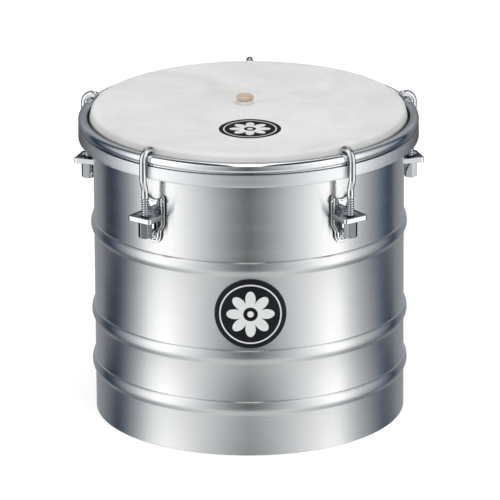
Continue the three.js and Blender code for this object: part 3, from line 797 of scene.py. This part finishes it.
def cane_profile():
    """(radius, height) rows of the cane: its own radius plus, at each growth ring, a swelling of
    0.45 mm that falls off as a bell curve 1.3 mm wide, less a fine groove just above it."""
    height = np.linspace(stick_low, stick_high, 320)
    away = height[:, None] - ring_levels[None, :]
    swell = swell_height * np.exp(-((away / swell_width) ** 2)).sum(1)
    groove = groove_depth * np.exp(-(((away - groove_above) / groove_width) ** 2)).sum(1)
    wall = np.stack([cane_radius + swell - groove, height], -1)
    hollow = [[0, stick_low + hollow_depth], [cane_hollow, stick_low + hollow_depth],
              [cane_hollow, stick_low + 0.2 * mm], [cane_hollow + 0.2 * mm, stick_low]]
    return np.concatenate([hollow, [[cane_radius - 0.3 * mm, stick_low]], wall[1:], [[0, stick_high]]])


bamboo, tree, shader = new_material("bamboo_cane")
place = object_place(tree)
strands = noise(add(tree, "Mapping", Vector=place, Scale=(900, 900, 14)).outputs[0], 1.0, 4.0, 0.6)
golden = mix(spread(strands, 0.3, 0.7), (0.44, 0.29, 0.11), (0.70, 0.55, 0.29))
height = object_xyz(tree)["Z"]
stains = [within(calculate("ABSOLUTE", minus(height, float(ring) + groove_above)), stain_half, stain_soft)
          for ring in ring_levels]
stained = calculate("MAXIMUM", calculate("MAXIMUM", stains[0], stains[1]), stains[2])
ringed = mix(times(stained, 0.8), golden, (0.16, 0.09, 0.04))
aged = mix(spread(noise(place, 60.0, 3.0), 0.45, 0.7, 0.0, 0.35), ringed, (0.50, 0.36, 0.16))
feed(shader, Base_Color=aged, Roughness=spread(strands, 0.3, 0.7, 0.30, 0.46),
     Normal=bump(strands, 0.25, 0.1 * mm))
cane_points = turned(cane_profile(), 48, tie_axis)
dress(surface("bamboo_stick", cane_points), bamboo, "stick", "friction_stick")

# Button: the turned wooden head of the stick, a low disc with rounded edges and a shallow hollow
# in its top, waxed. It is pegged on the cane above the skin.
button_low, button_high = (corner.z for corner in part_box("stick_button"))
button_radius, lower_edge, upper_edge = 5.7 * mm, 0.8 * mm, 1.2 * mm
button_profile = np.concatenate([
    [[0, button_low], [4.6 * mm, button_low]],
    arc(button_radius - lower_edge, button_low + lower_edge, lower_edge, 270, 360, 6),
    arc(button_radius - upper_edge, button_high - upper_edge, upper_edge, 0, 90, 8),
    [[3.6 * mm, button_high - 0.10 * mm], [2.6 * mm, button_high - 0.34 * mm],
     [1.4 * mm, button_high - 0.5 * mm], [0, button_high - 0.55 * mm]],
])
turned_wood, tree, shader = new_material("turned_wood")
laid = add(tree, "Mapping", Vector=object_place(tree), Rotation=(0, 0, math.radians(4)),
           Scale=(70, 620, 620))
figure = noise(laid.outputs[0], 1.0, 5.0, 0.6, 0.3)
pore = noise(laid.outputs[0], 3.2, 2.0)
wood = mix(spread(figure, 0.32, 0.68), (0.45, 0.32, 0.235), (0.77, 0.60, 0.475))
feed(shader, Base_Color=mix(spread(pore, 0.55, 0.72, 0.0, 0.4), wood, (0.25, 0.14, 0.09)),
     Roughness=spread(figure, 0.3, 0.7, 0.42, 0.58), Normal=bump(pore, 0.2, 0.1 * mm))
button = surface("wooden_button", turned(button_profile, 72, tie_axis), sharp=50)
dress(button, turned_wood, "stick", "stick_button")

# Counterhoop: a steel band rolled into a hoop, its upper edge curled to a round bead that the
# hooks bear on. It is chromed: the bead is bright, and the band keeps the fine lines of rolling.
hoop_low, hoop_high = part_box("counterhoop")
hoop_radius, band_wall, tube_radius = hoop_high.y - axis[1], 1.8 * mm, 3.3 * mm
band_low, band_top = hoop_low.z, hoop_low.z + 8.3 * mm
band_inner, inner_soft, outer_soft, top_soft = hoop_radius - band_wall, 0.5 * mm, 0.6 * mm, 0.25 * mm
tube_level, tube_axis = band_top + 0.3 * mm + tube_radius, hoop_radius - tube_radius
hoop_profile = np.concatenate([
    arc(band_inner + inner_soft, band_low + inner_soft, inner_soft, 180, 270, 3),
    arc(hoop_radius - outer_soft, band_low + outer_soft, outer_soft, 270, 360, 4),
    [[hoop_radius, band_low + 3 * mm], [hoop_radius, band_top - 1.0 * mm]],
    arc(hoop_radius - top_soft, band_top - 0.3 * mm, top_soft, 0, 75, 4),
    arc(tube_axis, tube_level, tube_radius, -52, 255, 40),
    [[band_inner, band_top - 0.8 * mm], [band_inner, band_low + 4 * mm]],
])
rolled_chrome, tree, shader = new_material("rolled_chrome")
cloud = group_outputs(tree, handling, Cloud_size=30.0, Speck_size=1100.0)["Cloud"]
lines = group_outputs(tree, brush_lines, Lines_per_metre=3600.0, Slow_lines=620.0)
level = object_xyz(tree)["Z"]
# Painted shade: dark where the hoop turns away from the eye, and a near-black line along the crease between
# the band and the bead.
grazing_shade = spread(add(tree, "LayerWeight", Blend=0.5).outputs["Facing"], 0.62, 0.93, 0.0, 0.85)
rounded = mix(grazing_shade, mix(cloud, (0.88, 0.90, 0.90), (0.94, 0.955, 0.95)), (0.09, 0.10, 0.115))
crease = spread(calculate("ABSOLUTE", minus(level, band_top + 0.35 * mm)), 0.15 * mm, 0.45 * mm, 0.92, 0.0)
on_band = spread(level, band_top - 0.6 * mm, band_top + 0.6 * mm, 1.0, 0.0)
rolled = times(on_band, spread(lines["Bands"], 0.3, 0.7, 0.36, 0.44))
feed(shader, Base_Color=mix(crease, rounded, (0.035, 0.038, 0.045)), Metallic=1.0,
     Roughness=plus(rolled, spread(cloud, 0.35, 0.7, 0.03, 0.06)), Specular_Tint=(0.65, 0.66, 0.68),
     Normal=bump(times(on_band, lines["Lines"]), 0.12, 0.05 * mm))
hoop = surface("chromed_counterhoop", turned(hoop_profile, 360, axis), sharp=45)
dress(hoop, rolled_chrome, "rim", "counterhoop")

# Hooked rods: steel wire, 4.5 mm thick, with a coarse rolled thread below, a small crank that
# clears the band, and a hook bent over the bead of the hoop. Chromed all over.
wire_radius = 2.25 * mm
rod_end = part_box("tension_hook_1")[0].z
hook_radius, past_top = tube_radius + 0.3 * mm + wire_radius, math.radians(28)
crank_high, crank_low = band_low - 0.3 * mm, band_low - 8.8 * mm
crank_step = tube_axis + hook_radius - rod_axis
rod_pitch, thread_high, thread_fade = 1.6 * mm, ledge_top + 12.5 * mm, 1.2 * mm
thread_root, thread_depth = 0.52 * mm, 0.70 * mm
foot_worn, tip_rise = 0.1 * mm, 0.35


def hooked_rod(sides=28):
    """Points of one rod at the front of the drum. Its line climbs to the bead's level with a
    cosine step outwards between the crank's two levels, and then follows a circle over the bead.
    A circle of points stands across it. In the thread its radius is a rounded zigzag of
    (height / pitch - angle / a full turn); both ends close in a low dome."""
    climb = tube_level - rod_end
    thread = np.linspace(0, thread_high - rod_end, 200)
    plain = np.linspace(thread_high - rod_end, climb, 34)[1:]
    hook = climb + hook_radius * np.linspace(0, math.pi / 2 + past_top, 36)[1:]
    walked = np.concatenate([thread, plain, hook])
    level = rod_end + np.minimum(walked, climb)
    cranked = np.clip((level - crank_low) / (crank_high - crank_low), 0, 1)
    reach = rod_axis + crank_step * (1 - np.cos(math.pi * cranked)) / 2
    angle, over = np.maximum(walked - climb, 0) / hook_radius, walked > climb
    reach = np.where(over, tube_axis + hook_radius * np.cos(angle), reach)
    level = np.where(over, tube_level + hook_radius * np.sin(angle), level)
    line = np.stack([0 * reach, -reach, level], -1)
    ahead = unit(np.gradient(line, walked, axis=0))
    across = np.array([[1.0, 0, 0]])
    circle = circles(across, np.cross(ahead, across), sides)
    turn = level[:, None] / rod_pitch - np.arange(sides) / sides
    ridge = 0.5 + 0.5 * np.cos(2 * math.pi * turn)
    run_out = np.clip((thread_high - level) / thread_fade, 0, 1)[:, None]
    size = wire_radius + run_out * (-thread_root + thread_depth * ridge**0.5)
    body = line[:, None, :] + circle * size[:, :, None]
    dome = np.linspace(0, math.pi / 2, 6)[1:]
    foot = [line[0] + circle[0] * (wire_radius - foot_worn) * math.cos(a) for a in dome[::-1]]
    tip = [line[-1] + circle[-1] * wire_radius * math.cos(a)
           + ahead[-1] * wire_radius * tip_rise * math.sin(a)
           for a in dome]
    return np.concatenate([foot, body, tip])


at_stations("hooked_rod", "tension_hook", chrome, "chrome", hooked_rod(), body="rim", sharp=50)

# Tuning nuts: tall hexagon nuts with both ends chamfered, in a copy of the chrome with darker
# greys, painted shade for their dark look under the ledges. Each draws its rod down through the
# ledge of its lug, and has stopped at its own angle.
nut_flats, nut_height = 8 * mm, 11 * mm
nut_base = np.array([0, -rod_axis, ledge_under - 0.3 * mm - nut_height])
nut_turns = np.radians([9, 18, 4, 0, -4])
# Painted shade: the nuts' chrome has darker greys than the lugs'.
shaded_nut_chrome = chrome_plated("shaded_chrome_plate", (0.42, 0.435, 0.45), (0.54, 0.55, 0.565))
tuning_nut = hexagon_nut(nut_flats, nut_height, rod_hole, 4)
for number, (angle, own_turn) in enumerate(zip(station_angles, nut_turns), 1):
    points = stationed(tuning_nut, angle + own_turn) - axis + stationed(nut_base, angle)
    nut = surface(f"hexagon_tuning_nut_{number}", points, sharp=20)
    dress(nut, shaded_nut_chrome, f"nut_{number}", f"tuning_nut_{number}")

# Studio: a plain pale floor, an even white surround, one large soft lamp overhead and two softer
# ones at the sides, and a graded tent round the drum that only gloss sees, as polished metal is
# lit for a catalogue. The camera stands 4 m away and looks down by 19 degrees.
floor_half, tent_radius, tent_middle = 8, 2.4, 0.15


def emptied(owner, kind):
    """Clears the nodes of a material or world; gives its tree and a new output node."""
    owner.use_nodes = True
    owner.node_tree.nodes.clear()
    return owner.node_tree, add(owner.node_tree, "Output" + kind)


floor_mesh = bpy.data.meshes.new("floor")
floor_corners = np.array([(-1, -1, 0), (1, -1, 0), (1, 1, 0), (-1, 1, 0)]) * floor_half
floor_mesh.from_pydata(floor_corners.tolist(), [], [(0, 1, 2, 3)])
floor = in_scene("floor", floor_mesh)
floor.visible_glossy = False
pale_floor = bpy.data.materials.new("pale_floor")
tree, out = emptied(pale_floor, "Material")
matt = add(tree, "BsdfDiffuse", Color=(0.80, 0.80, 0.80))
lift = add(tree, "Emission", Color=(1, 1, 1), Strength=0.47)
glow = add(tree, "MixShader", in0=add(tree, "LightPath").outputs["Is Camera Ray"],
           in1=add(tree, "Emission", Strength=0.0).outputs[0], in2=lift.outputs[0])
feed(out, Surface=add(tree, "AddShader", in0=matt.outputs[0], in1=glow.outputs[0]).outputs[0])
floor_mesh.materials.append(pale_floor)

# The tent's walls, as (place, level, cool): the share of the way from the front round to the
# back, the brightness there, and how blue it is. Both sides share the front and the back stops.
front_stops = [(0.0, 0.11, 0.04), (0.056, 0.25, 0.04), (0.111, 0.45, 0.03), (0.167, 0.67, 0.03),
               (0.222, 0.88, 0.02), (0.278, 1.12, 0.0)]
left_stops = [(0.344, 1.38, 0.0), (0.382, 1.38, 0.0), (0.436, 1.16, 0.0), (0.49, 0.72, 0.02),
              (0.528, 0.50, 0.04), (0.565, 0.34, 0.07), (0.60, 0.19, 0.18), (0.645, 0.065, 0.36),
              (0.69, 0.05, 0.36)]
right_stops = [(0.344, 1.40, 0.0), (0.389, 1.36, 0.0), (0.43, 1.02, 0.0), (0.47, 0.76, 0.01),
               (0.51, 0.60, 0.02), (0.55, 0.48, 0.03), (0.60, 0.32, 0.10), (0.64, 0.20, 0.20),
               (0.68, 0.075, 0.36), (0.703, 0.05, 0.36)]
back_stops = [(0.722, 0.17, 0.14), (0.78, 0.27, 0.08), (0.87, 0.34, 0.05), (0.93, 0.42, 0.04),
              (1.0, 0.55, 0.02)]
ground_stops = [(0.0, 0.64, 0.02), (0.30, 0.80, 0.0), (0.45, 0.62, 0.02), (0.56, 0.28, 0.08),
                (0.67, 0.06, 0.32), (0.71, 0.08, 0.30), (0.73, 0.30, 0.05), (0.87, 0.42, 0.03),
                (1.0, 0.70, 0.0)]


def graded(share, stops):
    """The colour at a share of the way round: grey at each stop's level, shifted to blue."""
    ramp = add(share.id_data, "ValToRGB", Fac=share)
    for place, level, cool in stops[1:-1]:
        ramp.color_ramp.elements.new(place)
    for element, (place, level, cool) in zip(ramp.color_ramp.elements, stops):
        element.position = place
        element.color = (level * (1 - cool), level, level * (1 + 1.3 * cool), 1)
    return ramp.outputs["Color"]


graded_tent = bpy.data.materials.new("graded_tent")
tree, out = emptied(graded_tent, "Material")
x, y, z = object_xyz(tree)
bearing = calculate("ARCTAN2", x, times(y, -1.0))
share = calculate("DIVIDE", calculate("ABSOLUTE", bearing), math.pi)
walls = mix(spread(x, -0.02, 0.02), graded(share, front_stops + left_stops + back_stops),
            graded(share, front_stops + right_stops + back_stops))
height = calculate("DIVIDE", minus(z, tent_middle), tent_radius)
behind = calculate("DIVIDE", y, tent_radius)
off_middle = calculate("DIVIDE", calculate("ABSOLUTE", x), tent_radius)
# Where upright faces are mirrored, the walls have more contrast.
stark = add(tree, "Gamma", Color=walls, Gamma=1.55).outputs[0]
off_level = calculate("ABSOLUTE", plus(height, 0.33))
in_band = times(spread(off_level, 0.06, 0.10, 1.0, 0.0), spread(share, 0.72, 0.78, 1.0, 0.0))
banded = mix(in_band, walls, stark)
grounded = mix(spread(height, -0.70, -0.46), graded(share, ground_stops), banded)
back_high = times(spread(share, 0.74, 0.86), spread(height, -0.05, 0.15))
backed = mix(back_high, grounded, (0.38, 0.40, 0.42))
roofed = mix(spread(height, 0.83, 0.90), backed, (0.05, 0.055, 0.065))
over_middle = plus(height, times(behind, 0.35))
strip = times(spread(off_middle, 0.09, 0.13, 1.0, 0.0), spread(over_middle, 0.69, 0.76))
shine = add(tree, "Emission", Color=mix(strip, roofed, (1.4, 1.4, 1.4)), Strength=1.0)
feed(out, Surface=shine.outputs[0])
tent = surface("reflection_tent", turned(arc(0, tent_middle, tent_radius, -90, 90, 48), 96, axis))
tent.visible_camera = tent.visible_diffuse = tent.visible_shadow = tent.visible_transmission = False
tent.data.materials.append(graded_tent)


def aimed(name, data, place, aim):
    """Puts a lamp or a camera at a place, turned towards its aim."""
    thing = in_scene(name, data)
    thing.location = place
    thing.rotation_euler = (Vector(aim) - Vector(place)).to_track_quat("-Z", "Y").to_euler()
    return thing


def soft_lamp(name, place, size, power, aim):
    """A square soft lamp that neither gloss nor the camera sees."""
    data = bpy.data.lights.new(name, "AREA")
    data.shape, data.size, data.energy = "SQUARE", size, power
    lamp = aimed(name, data, place, aim)
    lamp.visible_glossy = lamp.visible_camera = False


soft_lamp("overhead", (0.1, -0.15, 1.7), 1.4, 11.0, (0, 0, 0.15))
soft_lamp("left", (-1.2, -1.6, 0.8), 0.9, 7.0, (0, 0, 0.1))
soft_lamp("right", (1.2, -1.6, 0.8), 0.9, 7.0, (0, 0, 0.1))

world = bpy.data.worlds.new("white_surround")
bpy.context.scene.world = world
tree, out = emptied(world, "World")
path = add(tree, "LightPath").outputs
seen = plus(plus(path["Is Camera Ray"], path["Is Glossy Ray"]), path["Is Transmission Ray"])
ambient = add(tree, "Background", Color=(0.985, 0.99, 1.0), Strength=0.52)
white = add(tree, "Background", Color=(1, 1, 1), Strength=1.0)
mixed = add(tree, "MixShader", in0=calculate("MINIMUM", seen, 1.0), in1=ambient.outputs[0],
            in2=white.outputs[0])
feed(out, Surface=mixed.outputs[0])

camera_data = bpy.data.cameras.new("camera")
camera_data.sensor_width, camera_data.lens = 36.0, 437.8
azimuth, elevation, distance, roll = math.radians(0.5), math.radians(19.0), 4.0, math.radians(-0.3)
look = Vector((0.00053, axis[1], 0.10605))
outward = Vector((math.sin(azimuth) * math.cos(elevation),
                     -math.cos(azimuth) * math.cos(elevation), math.sin(elevation)))
stand = Vector((0.0, axis[1], 0.0965)) + distance * outward
camera = aimed("camera", camera_data, stand, look)
camera.rotation_euler.rotate_axis("Z", roll)
bpy.context.scene.camera = camera
bpy.context.scene.view_settings.view_transform = "Standard"
